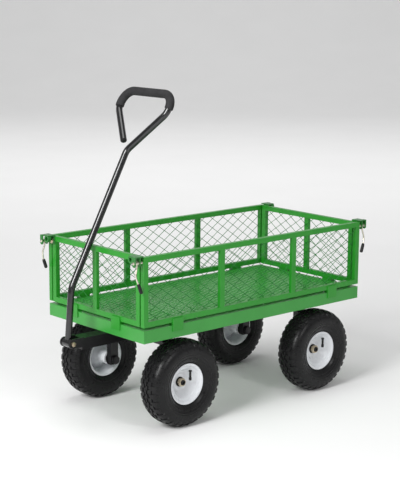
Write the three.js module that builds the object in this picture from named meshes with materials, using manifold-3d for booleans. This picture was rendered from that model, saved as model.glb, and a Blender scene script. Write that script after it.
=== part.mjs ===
// Four-wheel garden cart with removable mesh sides, turntable steering and a
// folding pull handle. Millimetres, +Z up, +X towards the rear of the cart,
// ground at z = 0. The origin is on the ground under the middle of the
// outline of the whole cart.

import * as THREE from 'three';
import { mergeVertices } from 'three/addons/utils/BufferGeometryUtils.js';
import Module from 'manifold-3d';

const wasm = await Module();
wasm.setup();

// ---------------------------------------------------------------- dimensions

const GAP = 0.3;                 // clearance between touching pieces

// tray
const TRAY_L = 881.6, TRAY_W = 445.2, TRAY_TOP = 310.8, SKIRT = 37.2;
const SHEET = 2, FLANGE = 22;
const DECK_T = 3;

// side panels
const PANEL_Z0 = 319.4, PANEL_Z1 = 518.8;
const RAIL_H = 15.5, POST_W = 16, MID_W = 18, MID_T = 10.2, PANEL_T = 14;
const PANEL_GAP = 5;             // between the end post of a long panel and the end panel
const MESH_IN = 10.5, MESH_T = 2.5;   // depth of the wire sheet behind the outer face, thickness
const TAB_W = 39, TAB_T = 3, TAB_Z0 = 293.5, TAB_Z1 = 331;
const LONG_TAB_X = 318, END_TAB_Y = 99;

// wheels
const WHEEL_R = 128, TYRE_W = 85, TRACK = 380;
const WHEEL_X_FRONT = -279.5, WHEEL_X_REAR = 274.3;
const RIM_R = 60.9, RIM_HALF = 32;
const BORE_R = 12.5, BUSH_R = 14.5, AXLE_R = 8;

// axle brackets
const LEG_X = 28, LEG_Y0 = 114, LEG_Y1 = 134, LEG_Z0 = 113, BOSS_R = 17, BOSS_Y = 138;
const BEAM_X = 40, FRONT_BEAM_Z0 = 228, FRONT_BEAM_Z1 = 263, REAR_BEAM_Z0 = 240;
const CROSS_Z0 = 276, CROSS_WALL = 3;
const PLATE_R = 65;

// tongue and handle
const TONGUE_W = 45, TONGUE_X0 = -504, PIVOT_X = -535.6, PIVOT_Z = 249.5;
const EAR_R = 14, EAR_T = 5;
const TUBE_R = 9.8, GRIP_R = 12.8, SLEEVE_R = 12.5;
const BEND = [-523.2, 406.3], LEAN = 28.16 * Math.PI / 180;
const LOOP_START = 426.8, GRIP_AT = 610.2, LOOP_CORNER = 157, LOOP_R = 42;
const FREE_END = [456, 31];

// corner latches, measured outwards (p) from the end panel's face, inwards (q)
// from the side of the cart
const EAR_P = [11, 28], EAR_PLATE = 3, EAR_Q = [0, 13], LATCH_TOP = 523, LATCH_BOTTOM = 493.5;
const BARREL_Q = 26, BARREL_Z = 512.8, BARREL_R = 10.5, BARREL_BORE = 6, BARREL_P = [17, 27];
const PIN_Q = 6.5, PIN_Z = 504.6, PIN_R = 4.5, PIN_P = [0.4, 33.5];
const WIRE_R = 2.4, WIRE_P = 20;
const RIVET_Q = 19, RIVET_Z = 503.8;

// outline along X, and the shift that puts its middle at the origin
const FRONT_END = PIVOT_X - EAR_R, REAR_END = TRAY_L / 2 + PIN_P[1];
const SHIFT_X = -(FRONT_END + REAR_END) / 2;

// ------------------------------------------------------------------- finishes

const mat = (color, roughness, metalness) =>
  new THREE.MeshStandardMaterial({ color, roughness, metalness });
const GREEN = mat(0x3da24b, 0.42, 0.1);
const BLACK = mat(0x202022, 0.35, 0.2);
const GLOSS_BLACK = mat(0x232326, 0.22, 0.2);
const FOAM = mat(0x3c3c3e, 0.9, 0);
const TYRE = mat(0x2c2c2d, 0.85, 0);
const WHITE = mat(0xdadce0, 0.35, 0.2);
const ZINC = mat(0xc4b096, 0.35, 0.9);
const VINYL = mat(0x242427, 0.5, 0);

// -------------------------------------------------------------------- helpers

function solidOf(geometry) {
  let g = geometry.index ? geometry.toNonIndexed() : geometry.clone();
  g.deleteAttribute('normal');
  g.deleteAttribute('uv');
  g = mergeVertices(g, 1e-4);
  const m = new wasm.Mesh({
    numProp: 3,
    vertProperties: new Float32Array(g.attributes.position.array),
    triVerts: new Uint32Array(g.index.array),
  });
  m.merge();
  let s = new wasm.Manifold(m);
  if (s.volume() < 0) {
    const t = new Uint32Array(g.index.array);
    for (let i = 0; i < t.length; i += 3) [t[i], t[i + 1]] = [t[i + 1], t[i]];
    const f = new wasm.Mesh({
      numProp: 3, vertProperties: new Float32Array(g.attributes.position.array), triVerts: t,
    });
    f.merge();
    s = new wasm.Manifold(f);
  }
  return s;
}

function geometryOf(solid) {
  const m = solid.getMesh();
  const g = new THREE.BufferGeometry();
  const n = m.vertProperties.length / m.numProp;
  const pos = new Float32Array(n * 3);
  for (let i = 0; i < n; i++)
    for (let k = 0; k < 3; k++) pos[3 * i + k] = m.vertProperties[m.numProp * i + k];
  g.setAttribute('position', new THREE.BufferAttribute(pos, 3));
  g.setIndex(new THREE.BufferAttribute(new Uint32Array(m.triVerts), 1));
  return g;
}

const join = (...list) => list.reduce((a, b) => a.add(b));
const cut = (a, ...list) => list.reduce((x, b) => x.subtract(b), a);

function box(x0, x1, y0, y1, z0, z1) {
  const g = new THREE.BoxGeometry(x1 - x0, y1 - y0, z1 - z0);
  g.translate((x0 + x1) / 2, (y0 + y1) / 2, (z0 + z1) / 2);
  return solidOf(g);
}

// turns geometry built around +Y so that its axis is X or Z
function along(g, axis) {
  if (axis === 'x') g.rotateZ(-Math.PI / 2);
  if (axis === 'z') g.rotateX(Math.PI / 2);
  return g;
}

function cylinder(axis, r, from, to, at, sides = 24, turn = 0, r2 = r) {
  const g = new THREE.CylinderGeometry(r2, r, to - from, sides);
  g.rotateY(turn);
  g.translate(0, (from + to) / 2, 0);
  along(g, axis);
  g.translate(...at);
  return solidOf(g);
}

const hexBar = (axis, flats, from, to, at, turn = 0) =>
  cylinder(axis, flats / 2 / Math.cos(Math.PI / 6), from, to, at, 6, turn);

// solid of revolution: profile points are [radius, distance along the axis]
function revolve(axis, profile, at, sides = 24, turn = 0) {
  const pts = profile.map(([r, a]) => new THREE.Vector2(r, a));
  if (profile[0][0] > 0) pts.push(pts[0].clone());
  const g = new THREE.LatheGeometry(pts, sides);
  g.rotateY(turn);
  along(g, axis);
  g.translate(...at);
  return solidOf(g);
}

// prism whose outline lies in the YZ plane, between two x values
function prismX(outline, x0, x1) {
  const s = new THREE.Shape(outline.map(([y, z]) => new THREE.Vector2(y, z)));
  const g = new THREE.ExtrudeGeometry(s, { depth: x1 - x0, bevelEnabled: false });
  const p = g.attributes.position;
  for (let i = 0; i < p.count; i++) p.setXYZ(i, x0 + p.getZ(i), p.getX(i), p.getY(i));
  return solidOf(g);
}

// prism whose outline lies in the XZ plane, between two y values
function prismY(outline, y0, y1) {
  const s = new THREE.Shape(outline.map(([x, z]) => new THREE.Vector2(x, z)));
  const g = new THREE.ExtrudeGeometry(s, { depth: y1 - y0, bevelEnabled: false });
  const p = g.attributes.position;
  for (let i = 0; i < p.count; i++) p.setXYZ(i, p.getX(i), y0 + p.getZ(i), p.getY(i));
  return solidOf(g);
}

// polyline with its corners rounded to the given radii
function roundedPath(points, radii, steps) {
  const out = [points[0].clone()];
  for (let i = 1; i < points.length - 1; i++) {
    const a = points[i - 1], b = points[i], c = points[i + 1];
    const u = a.clone().sub(b).normalize(), v = c.clone().sub(b).normalize();
    const half = u.angleTo(v) / 2;
    const cutBack = radii[i - 1] / Math.tan(half);
    const p = b.clone().addScaledVector(u, cutBack), q = b.clone().addScaledVector(v, cutBack);
    const centre = b.clone().addScaledVector(u.clone().add(v).normalize(), radii[i - 1] / Math.sin(half));
    const e1 = p.clone().sub(centre), e2 = q.clone().sub(centre), sweep = e1.angleTo(e2);
    for (let k = 0; k <= steps[i - 1]; k++) {
      const t = k / steps[i - 1];
      const w1 = Math.sin((1 - t) * sweep) / Math.sin(sweep), w2 = Math.sin(t * sweep) / Math.sin(sweep);
      out.push(centre.clone().addScaledVector(e1, w1).addScaledVector(e2, w2));
    }
  }
  out.push(points[points.length - 1].clone());
  return out;
}

// a curve through a list of points, walked at even spacing
class Polyline extends THREE.Curve {
  constructor(points) {
    super();
    this.points = points;
    this.at = [0];
    for (let i = 1; i < points.length; i++)
      this.at.push(this.at[i - 1] + points[i].distanceTo(points[i - 1]));
  }
  getPoint(t, target = new THREE.Vector3()) {
    const d = t * this.at[this.at.length - 1];
    let i = 1;
    while (i < this.at.length - 1 && this.at[i] < d) i++;
    const f = (d - this.at[i - 1]) / (this.at[i] - this.at[i - 1]);
    return target.copy(this.points[i - 1]).lerp(this.points[i], f);
  }
  get length() { return this.at[this.at.length - 1]; }
}

// part of a polyline between two distances along it
function stretch(points, from, to) {
  const c = new Polyline(points), out = [c.getPoint(from / c.length)];
  for (let i = 1; i < points.length - 1; i++)
    if (c.at[i] > from + 1 && c.at[i] < to - 1) out.push(points[i].clone());
  out.push(c.getPoint(to / c.length));
  return out;
}

// round bar or pipe along a path, one ring of vertices at each of its points
function bar(points, r, sides, bore = 0) {
  const dirs = points.slice(1).map((p, i) => p.clone().sub(points[i]).normalize());
  const radii = bore ? [r, bore] : [r];
  const pos = [], idx = [], n = points.length, m = sides * radii.length;
  let e = new THREE.Vector3(0, 1, 0);
  if (Math.abs(e.dot(dirs[0])) > 0.9) e.set(1, 0, 0);
  for (let i = 0; i < n; i++) {
    const t = i === 0 ? dirs[0].clone() : i === n - 1 ? dirs[n - 2].clone()
      : dirs[i - 1].clone().add(dirs[i]).normalize();
    e = e.clone().addScaledVector(t, -e.dot(t)).normalize();
    const f = t.clone().cross(e);
    for (const rad of radii)
      for (let k = 0; k < sides; k++) {
        const a = 2 * Math.PI * k / sides;
        const p = points[i].clone().addScaledVector(e, rad * Math.cos(a)).addScaledVector(f, rad * Math.sin(a));
        pos.push(p.x, p.y, p.z);
      }
  }
  const quad = (a, b, c, d) => idx.push(a, b, c, a, c, d);
  for (let i = 0; i < n - 1; i++)
    for (let k = 0; k < sides; k++) {
      const l = (k + 1) % sides, a = i * m, b = (i + 1) * m;
      quad(a + k, a + l, b + l, b + k);
      if (bore) quad(a + sides + l, a + sides + k, b + sides + k, b + sides + l);
    }
  const z = (n - 1) * m;
  for (let k = 0; k < sides; k++) {
    const l = (k + 1) % sides;
    if (bore) {
      quad(l, k, sides + k, sides + l);
      quad(z + k, z + l, z + sides + l, z + sides + k);
    } else if (k > 0 && k < sides - 1) {
      idx.push(0, l, k);
      idx.push(z, z + k, z + l);
    }
  }
  const g = new THREE.BufferGeometry();
  g.setAttribute('position', new THREE.BufferAttribute(new Float32Array(pos), 3));
  g.setIndex(idx);
  return solidOf(g);
}

const cart = new THREE.Group();
const frame = new THREE.Group();
frame.position.x = SHIFT_X;
cart.add(frame);

function add(name, solid, material, flipX = false, flipY = false) {
  const g = geometryOf(solid);
  if (flipX || flipY) {
    g.scale(flipX ? -1 : 1, flipY ? -1 : 1, 1);
    if (flipX !== flipY) {
      const t = g.index.array;
      for (let i = 0; i < t.length; i += 3) [t[i], t[i + 1]] = [t[i + 1], t[i]];
    }
  }
  g.computeVertexNormals();
  const mesh = new THREE.Mesh(g, material);
  mesh.name = name;
  frame.add(mesh);
  return mesh;
}

// ----------------------------------------------------------------------- tray

const hx = TRAY_L / 2, hy = TRAY_W / 2;
const trayBottom = TRAY_TOP - SKIRT;

// folded rim: a skirt all round with a flange turned in along its top edge
add('tray_frame', cut(
  box(-hx, hx, -hy, hy, trayBottom, TRAY_TOP),
  box(-hx + SHEET, hx - SHEET, -hy + SHEET, hy - SHEET, trayBottom - 5, TRAY_TOP - SHEET),
  box(-hx + FLANGE, hx - FLANGE, -hy + FLANGE, hy - FLANGE, trayBottom, TRAY_TOP + 5),
), GREEN);

// expanded-metal floor, standing on the flange inside the panels
const DECK_EDGE = PANEL_T + 1.2, deckTop = TRAY_TOP + GAP + DECK_T;
add('deck_mesh', box(-hx + DECK_EDGE, hx - DECK_EDGE, -hy + DECK_EDGE, hy - DECK_EDGE, TRAY_TOP + GAP, deckTop), GREEN);

// inverted channels across the tray, stepped down at both ends under the flange
function crossMember(name, x, width) {
  const y = hy - SHEET - GAP, yi = hy - FLANGE - GAP, z1 = TRAY_TOP - SHEET - GAP;
  add(name, cut(
    join(
      box(x - width / 2, x + width / 2, -y, y, CROSS_Z0 + 1, z1),
      box(x - width / 2, x + width / 2, -yi, yi, z1 - 1, TRAY_TOP),
    ),
    box(x - width / 2 + CROSS_WALL, x + width / 2 - CROSS_WALL, -y - 5, y + 5, CROSS_Z0 - 5, z1 - CROSS_WALL),
  ), GREEN);
}
crossMember('cross_member_front', WHEEL_X_FRONT, 64);
crossMember('cross_member_middle', (WHEEL_X_FRONT + WHEEL_X_REAR) / 2, 40);
crossMember('cross_member_rear', WHEEL_X_REAR, 64);

// ----------------------------------------------------------- axles and steering

function axleBracket(x, z0, z1, boltX) {
  let s = join(
    box(x - BEAM_X / 2, x + BEAM_X / 2, -LEG_Y1, LEG_Y1, z0, z1),
    ...[-1, 1].map((sy) => box(x - LEG_X / 2, x + LEG_X / 2,
      Math.min(sy * LEG_Y0, sy * LEG_Y1), Math.max(sy * LEG_Y0, sy * LEG_Y1), LEG_Z0, z1 - 2)),
    ...[-1, 1].map((sy) => cylinder('y', BOSS_R, Math.min(sy * (LEG_Y1 - 2), sy * BOSS_Y),
      Math.max(sy * (LEG_Y1 - 2), sy * BOSS_Y), [x, 0, WHEEL_R], 20)),
  );
  return cut(s, cylinder('y', AXLE_R + 0.35, -150, 150, [x, 0, WHEEL_R], 16));
}

const rearTop = CROSS_Z0 + 0.7;
add('rear_axle_bracket', axleBracket(WHEEL_X_REAR, REAR_BEAM_Z0, rearTop), BLACK);

const lowerPlateTop = FRONT_BEAM_Z1 + 4;
const upperPlate0 = lowerPlateTop + GAP, upperPlate1 = CROSS_Z0 + 0.7;
add('turntable_plate', cut(
  cylinder('z', PLATE_R, upperPlate0, upperPlate1, [WHEEL_X_FRONT, 0, 0], 24),
  cylinder('z', AXLE_R + 0.4, 0, 400, [WHEEL_X_FRONT, 0, 0], 16),
), BLACK);

add('front_axle_bracket', cut(
  join(
    axleBracket(WHEEL_X_FRONT, FRONT_BEAM_Z0, FRONT_BEAM_Z1),
    cylinder('z', PLATE_R, FRONT_BEAM_Z1 - 1, lowerPlateTop, [WHEEL_X_FRONT, 0, 0], 24),
  ),
  cylinder('z', AXLE_R + 0.4, 0, 400, [WHEEL_X_FRONT, 0, 0], 16),
), BLACK);

// king pin: hex head above the upper plate, nut under the beam
add('king_pin', join(
  cylinder('z', AXLE_R, FRONT_BEAM_Z0 - 18, upperPlate1 + 3, [WHEEL_X_FRONT, 0, 0], 16),
  hexBar('z', 24, upperPlate1 + GAP, upperPlate1 + GAP + 10, [WHEEL_X_FRONT, 0, 0]),
), ZINC);
add('king_pin_nut', cut(
  hexBar('z', 24, FRONT_BEAM_Z0 - GAP - 13, FRONT_BEAM_Z0 - GAP, [WHEEL_X_FRONT, 0, 0]),
  cylinder('z', AXLE_R + 0.35, 0, 400, [WHEEL_X_FRONT, 0, 0], 16),
), ZINC);

// tongue: box beam with two ears at its front end
const tongueZ0 = FRONT_BEAM_Z0, tongueZ1 = FRONT_BEAM_Z1 - 1.3;
const tongueX1 = WHEEL_X_FRONT - BEAM_X / 2 - GAP;
function ear(sy) {
  const y0 = sy > 0 ? TONGUE_W / 2 - EAR_T : -TONGUE_W / 2;
  const arc = [];
  for (let k = 0; k <= 10; k++) {
    const a = Math.PI / 2 + Math.PI * k / 10;
    arc.push([PIVOT_X + EAR_R * Math.cos(a), PIVOT_Z + EAR_R * Math.sin(a)]);
  }
  return prismY([[TONGUE_X0 + 8, PIVOT_Z + EAR_R], ...arc, [TONGUE_X0 + 8, PIVOT_Z - EAR_R]], y0, y0 + EAR_T);
}
add('tongue', cut(
  join(box(TONGUE_X0, tongueX1, -TONGUE_W / 2, TONGUE_W / 2, tongueZ0, tongueZ1), ear(-1), ear(1)),
  box(TONGUE_X0 + 30, tongueX1 + 5, -TONGUE_W / 2 + 3, TONGUE_W / 2 - 3, tongueZ0 + 3, tongueZ1 - 3),
  cylinder('y', 5.4, -60, 60, [PIVOT_X, 0, PIVOT_Z], 16),
), BLACK);

const earOut = TONGUE_W / 2 + GAP;
add('handle_pivot_bolt', join(
  cylinder('y', 5, -earOut - 3, earOut + 11, [PIVOT_X, 0, PIVOT_Z], 16),
  hexBar('y', 13, -earOut - 5, -earOut, [PIVOT_X, 0, PIVOT_Z]),
), ZINC);
add('handle_pivot_nut', cut(
  hexBar('y', 13, earOut, earOut + 7, [PIVOT_X, 0, PIVOT_Z]),
  cylinder('y', 5.3, -60, 60, [PIVOT_X, 0, PIVOT_Z], 16),
), ZINC);

// --------------------------------------------------------------------- handle

// one bent tube: up from the pivot, leaning back, out to one side, round the
// grip and back in towards the shaft, where its free end stops
const lean = new THREE.Vector3(Math.sin(LEAN), 0, Math.cos(LEAN));
const bendPoint = new THREE.Vector3(BEND[0], 0, BEND[1]);
const foot = new THREE.Vector3(PIVOT_X, 0, PIVOT_Z);
const up = (s, y) => bendPoint.clone().addScaledVector(lean, s).add(new THREE.Vector3(0, y, 0));
const handlePath = roundedPath([
  foot.clone().add(new THREE.Vector3(0, 0, SLEEVE_R - 3)), bendPoint,
  up(LOOP_START, 0), up(GRIP_AT, -LOOP_CORNER), up(GRIP_AT, LOOP_CORNER), up(FREE_END[0], FREE_END[1]),
], [70, 30, LOOP_R, LOOP_R], [4, 5, 9, 9]);
const sleeveHalf = TONGUE_W / 2 - EAR_T - GAP;
add('handle_tube', cut(
  join(bar(handlePath, TUBE_R, 12),
    cylinder('y', SLEEVE_R, -sleeveHalf, sleeveHalf, [PIVOT_X, 0, PIVOT_Z], 20)),
  cylinder('y', 5.3, -60, 60, [PIVOT_X, 0, PIVOT_Z], 16),
), GLOSS_BLACK);

// foam sleeve over the widest part of the loop
const widest = (sign) => {
  let best = 0, at = 0, c = new Polyline(handlePath);
  for (let i = 0; i <= 2000; i++) {
    const p = c.getPoint(i / 2000);
    if (sign * p.y > best) { best = sign * p.y; at = i / 2000 * c.length; }
  }
  return at;
};
const GRIP_FROM = widest(-1) - 5, GRIP_TO = widest(1) + 11;
add('handle_grip', bar(stretch(handlePath, GRIP_FROM, GRIP_TO), GRIP_R, 12, TUBE_R + 0.45), FOAM);

// plug closing the free end of the tube
const end = handlePath[handlePath.length - 1];
const endDir = end.clone().sub(handlePath[handlePath.length - 2]).normalize();
const plugGeometry = new THREE.LatheGeometry(
  [[0, 0], [9.4, 0], [9.4, 1.5], [7.6, 3.6], [4.2, 5], [0, 5.4]].map(([r, a]) => new THREE.Vector2(r, a)), 12);
plugGeometry.applyQuaternion(new THREE.Quaternion().setFromUnitVectors(new THREE.Vector3(0, 1, 0), endDir));
plugGeometry.translate(...end.clone().addScaledVector(endDir, GAP).toArray());
add('handle_end_plug', solidOf(plugGeometry), VINYL);

// --------------------------------------------------------------------- panels

// frame of rails, posts and middle bars with two tabs that hang outside the
// skirt; built for the -Y side or the -X end, then mirrored
function longPanel() {
  const y0 = -hy, y1 = -hy + PANEL_T;
  const bars = [
    box(-hx, hx, y0, y1, PANEL_Z1 - RAIL_H, PANEL_Z1),
    box(-hx, hx, y0, y1, PANEL_Z0, PANEL_Z0 + RAIL_H),
    box(-hx, -hx + POST_W, y0, y1, PANEL_Z0, PANEL_Z1),
    box(hx - POST_W, hx, y0, y1, PANEL_Z0, PANEL_Z1),
    ...[-1, 1].map((s) => box(s * TRAY_L / 6 - MID_W / 2, s * TRAY_L / 6 + MID_W / 2, y0, y0 + MID_T, PANEL_Z0 + 2, PANEL_Z1 - 2)),
  ];
  const tabs = [-1, 1].flatMap((s) => [
    box(s * LONG_TAB_X - TAB_W / 2, s * LONG_TAB_X + TAB_W / 2, y0 - GAP - TAB_T, y0 - GAP, TAB_Z0, TAB_Z1),
    box(s * LONG_TAB_X - TAB_W / 2, s * LONG_TAB_X + TAB_W / 2, y0 - GAP - 1, y0 + 1, PANEL_Z0 + 2, TAB_Z1),
    box(s * LONG_TAB_X - TAB_W / 2, s * LONG_TAB_X + TAB_W / 2, y0 + 1, y1 - 1, TRAY_TOP + GAP, PANEL_Z0 + 2),
  ]);
  return join(...bars, ...tabs);
}
const endY = hy - PANEL_T - PANEL_GAP;
function endPanel() {
  const x0 = -hx, x1 = -hx + PANEL_T;
  const bars = [
    box(x0, x1, -endY, endY, PANEL_Z1 - RAIL_H, PANEL_Z1),
    box(x0, x1, -endY, endY, PANEL_Z0, PANEL_Z0 + RAIL_H),
    box(x0, x1, -endY, -endY + POST_W, PANEL_Z0, PANEL_Z1),
    box(x0, x1, endY - POST_W, endY, PANEL_Z0, PANEL_Z1),
    box(x0, x0 + MID_T, -MID_W / 2, MID_W / 2, PANEL_Z0 + 2, PANEL_Z1 - 2),
  ];
  const tabs = [-1, 1].flatMap((s) => [
    box(x0 - GAP - TAB_T, x0 - GAP, s * END_TAB_Y - TAB_W / 2, s * END_TAB_Y + TAB_W / 2, TAB_Z0, TAB_Z1),
    box(x0 - GAP - 1, x0 + 1, s * END_TAB_Y - TAB_W / 2, s * END_TAB_Y + TAB_W / 2, PANEL_Z0 + 2, TAB_Z1),
    box(x0 + 1, x1 - 1, s * END_TAB_Y - TAB_W / 2, s * END_TAB_Y + TAB_W / 2, TRAY_TOP + GAP, PANEL_Z0 + 2),
  ]);
  return join(...bars, ...tabs);
}

// the wire mesh of a panel is one sheet behind the middle bars
const meshZ0 = PANEL_Z0 + RAIL_H, meshZ1 = PANEL_Z1 - RAIL_H;
const sheetLong = () => box(-hx + POST_W + GAP, hx - POST_W - GAP,
  -hy + MESH_IN, -hy + MESH_IN + MESH_T, meshZ0 + GAP, meshZ1 - GAP);
const sheetEnd = () => box(-hx + MESH_IN, -hx + MESH_IN + MESH_T,
  -endY + POST_W + GAP, endY - POST_W - GAP, meshZ0 + GAP, meshZ1 - GAP);

add('near_panel_frame', longPanel(), GREEN);
add('near_panel_mesh', sheetLong(), GREEN);
add('far_panel_frame', longPanel(), GREEN, false, true);
add('far_panel_mesh', sheetLong(), GREEN, false, true);
add('front_panel_frame', endPanel(), GREEN);
add('front_panel_mesh', sheetEnd(), GREEN);
add('rear_panel_frame', endPanel(), GREEN, true, false);
add('rear_panel_mesh', sheetEnd(), GREEN, true, false);

// -------------------------------------------------------------- corner latches

const P = (p) => -hx - p, Q = (q) => -hy + q;

function earPlate(p0) {
  const qm = (EAR_Q[0] + EAR_Q[1]) / 2, r = (EAR_Q[1] - EAR_Q[0]) / 2, arc = [];
  for (let k = 0; k <= 5; k++) {
    const a = Math.PI + Math.PI * k / 5;
    arc.push([Q(qm) + r * Math.cos(a), LATCH_BOTTOM + r + r * Math.sin(a)]);
  }
  return prismX([[Q(EAR_Q[0]), LATCH_TOP - 1], ...arc, [Q(EAR_Q[1]), LATCH_TOP - 1]], P(p0 + EAR_PLATE), P(p0));
}
function latchBracket() {
  const body = join(
    earPlate(EAR_P[0]), earPlate(EAR_P[1]),
    box(P(EAR_P[1] + EAR_PLATE), P(EAR_P[0]), Q(EAR_Q[0]), Q(EAR_Q[1]), LATCH_TOP - 3, LATCH_TOP),
    box(P(BARREL_P[1]), P(GAP), Q(EAR_Q[0]), Q(BARREL_Q + 8), LATCH_TOP - 3, LATCH_TOP),
    cylinder('x', BARREL_R, P(BARREL_P[1]), P(BARREL_P[0]), [0, Q(BARREL_Q), BARREL_Z], 14),
    box(P(GAP + 3), P(GAP), Q(EAR_Q[1] - 1), Q(BARREL_Q + 8), LATCH_BOTTOM + 1, LATCH_TOP - 1),
    revolve('x', [[0, -P(GAP + 1)], [7.6, -P(GAP + 1)], [7.6, -P(GAP + 3.8)], [5, -P(GAP + 5.6)], [0, -P(GAP + 6.2)]]
      .map(([r, a]) => [r, -a]), [0, Q(RIVET_Q), RIVET_Z], 12),
  );
  return cut(body,
    cylinder('x', BARREL_BORE, P(BARREL_P[1] + 5), P(BARREL_P[0] + 2), [0, Q(BARREL_Q), BARREL_Z], 10),
    cylinder('x', PIN_R + 0.45, P(60), P(5), [0, Q(PIN_Q), PIN_Z], 12));
}
const wirePath = roundedPath([
  new THREE.Vector3(P(WIRE_P), Q(PIN_Q), PIN_Z),
  new THREE.Vector3(P(WIRE_P), Q(PIN_Q), 490),
  new THREE.Vector3(P(26.5), Q(4), 468),
  new THREE.Vector3(P(20), Q(0), 448),
], [30, 30], [3, 3]);
function latchPin() {
  return join(
    cylinder('x', PIN_R, P(PIN_P[1]), P(PIN_P[0]), [0, Q(PIN_Q), PIN_Z], 10),
    bar(wirePath, WIRE_R, 6),
  );
}
function latchTip() {
  const a = wirePath[wirePath.length - 1];
  const b = new THREE.Vector3(P(9.5), Q(-1), 419.5);
  const dir = b.clone().sub(a).normalize(), len = b.distanceTo(a);
  const g = new THREE.LatheGeometry([[0, 0.6], [3.8, 0.6], [4.6, 2], [5.2, 8], [5.2, len - 4],
    [4.1, len - 1.2], [0, len]].map(([r, h]) => new THREE.Vector2(r, h)), 10);
  g.applyQuaternion(new THREE.Quaternion().setFromUnitVectors(new THREE.Vector3(0, 1, 0), dir));
  g.translate(...a.toArray());
  return solidOf(g);
}
for (const [name, fx, fy] of [['front_near', false, false], ['front_far', false, true],
  ['rear_near', true, false], ['rear_far', true, true]]) {
  add(`${name}_latch_bracket`, latchBracket(), GREEN, fx, fy);
  add(`${name}_latch_pin`, latchPin(), ZINC, fx, fy);
  add(`${name}_latch_tip`, latchTip(), VINYL, fx, fy);
}

// --------------------------------------------------------------------- wheels

// profiles are [radius, distance outboard of the wheel's middle plane]
const TYRE_PROFILE = [
  [53.6, 23.5], [61.7, 29.1], [66, 35], [80, 40.8], [97, TYRE_W / 2], [116, 38.5], [WHEEL_R, 20],
  [WHEEL_R, -20], [116, -38.5], [97, -TYRE_W / 2], [80, -40.8], [66, -35], [61.7, -29.1], [53.6, -23.5],
];
const RIM_PROFILE = [
  [RIM_R, RIM_HALF], [RIM_R, RIM_HALF - 2.4], [55.4, 27.4], [52.8, 22], [52.8, -22],
  [55.4, -27.4], [RIM_R, -RIM_HALF + 2.4], [RIM_R, -RIM_HALF], [49.5, -24],
  [49.5, 15], [22, -10], [20, -50], [BORE_R, -50], [BORE_R, -3], [24, -4], [46.5, 25.5],
];
const BUSH_PROFILE = [
  [AXLE_R + 0.4, -51], [BUSH_R, -51], [BUSH_R, -50.3], [BORE_R - 0.4, -50.3], [BORE_R - 0.4, -2.7], [BUSH_R, -2.7],
  [BUSH_R, 0.5],
  [AXLE_R + 0.4, 0.5],
];
const VALVE_PROFILE = [[0, 8], [4.3, 8], [4.3, 16], [3.4, 17], [3.4, 33], [4.8, 34.2], [4.8, 38.2], [0, 38.2]];

function wheel(name, x, side) {
  const y = side * TRACK / 2;
  const face = (profile) => profile.map(([r, a]) => [r, side * a]);
  const c = [x, y, WHEEL_R];
  // the tyre stands on a flat of its outline
  const sides = 32, out = 1 / Math.cos(Math.PI / sides);
  add(`${name}_tyre`, revolve('y', face(TYRE_PROFILE).map(([r, a]) => [r * out, a]), c, sides, Math.PI / sides), TYRE);
  add(`${name}_rim`, revolve('y', face(RIM_PROFILE), c, 20), WHITE);
  add(`${name}_hub_bearing`, revolve('y', face(BUSH_PROFILE), c, 12), BLACK);
  add(`${name}_valve_stem`, revolve('z', VALVE_PROFILE, [x + 14, y + side * 28, WHEEL_R], 8), VINYL);
  // axle bolt: head against the inside of the bracket leg, nut outside the hub
  const inner = LEG_Y0 - GAP, outer = TRACK / 2 + 16;
  const bolt = join(
    cylinder('y', AXLE_R, inner - 4, outer, [x, 0, WHEEL_R], 16),
    hexBar('y', 24, inner - 9, inner, [x, 0, WHEEL_R]),
  );
  const nut = cut(hexBar('y', 22, TRACK / 2 + 1, TRACK / 2 + 12.5, [x, 0, WHEEL_R]),
    cylinder('y', AXLE_R + 0.35, 0, 400, [x, 0, WHEEL_R], 16));
  add(`${name}_axle_bolt`, bolt, BLACK, false, side < 0);
  add(`${name}_axle_nut`, nut, ZINC, false, side < 0);
}
wheel('front_near', WHEEL_X_FRONT, -1);
wheel('front_far', WHEEL_X_FRONT, 1);
wheel('rear_near', WHEEL_X_REAR, -1);
wheel('rear_far', WHEEL_X_REAR, 1);

export default cart;
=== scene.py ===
# Garden cart: visible surfaces, materials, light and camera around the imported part.
import bpy, bmesh, math
import numpy as np
from mathutils import Vector, Matrix


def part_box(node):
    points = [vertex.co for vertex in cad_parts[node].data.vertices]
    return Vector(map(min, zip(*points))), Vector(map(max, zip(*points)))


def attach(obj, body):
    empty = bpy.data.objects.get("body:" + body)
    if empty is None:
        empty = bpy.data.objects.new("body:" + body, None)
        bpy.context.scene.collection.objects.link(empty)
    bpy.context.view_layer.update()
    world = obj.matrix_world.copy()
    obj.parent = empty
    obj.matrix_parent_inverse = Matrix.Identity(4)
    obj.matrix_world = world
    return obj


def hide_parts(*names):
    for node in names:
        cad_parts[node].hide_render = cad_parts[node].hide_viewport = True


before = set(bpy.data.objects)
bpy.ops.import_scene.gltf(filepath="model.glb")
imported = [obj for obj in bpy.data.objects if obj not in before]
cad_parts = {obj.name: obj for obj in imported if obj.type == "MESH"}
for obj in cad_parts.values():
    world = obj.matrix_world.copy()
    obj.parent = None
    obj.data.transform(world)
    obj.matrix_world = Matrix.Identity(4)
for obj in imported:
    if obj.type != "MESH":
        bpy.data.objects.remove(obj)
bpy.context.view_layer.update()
CORNERS = ("front_near", "front_far", "rear_near", "rear_far")

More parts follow.
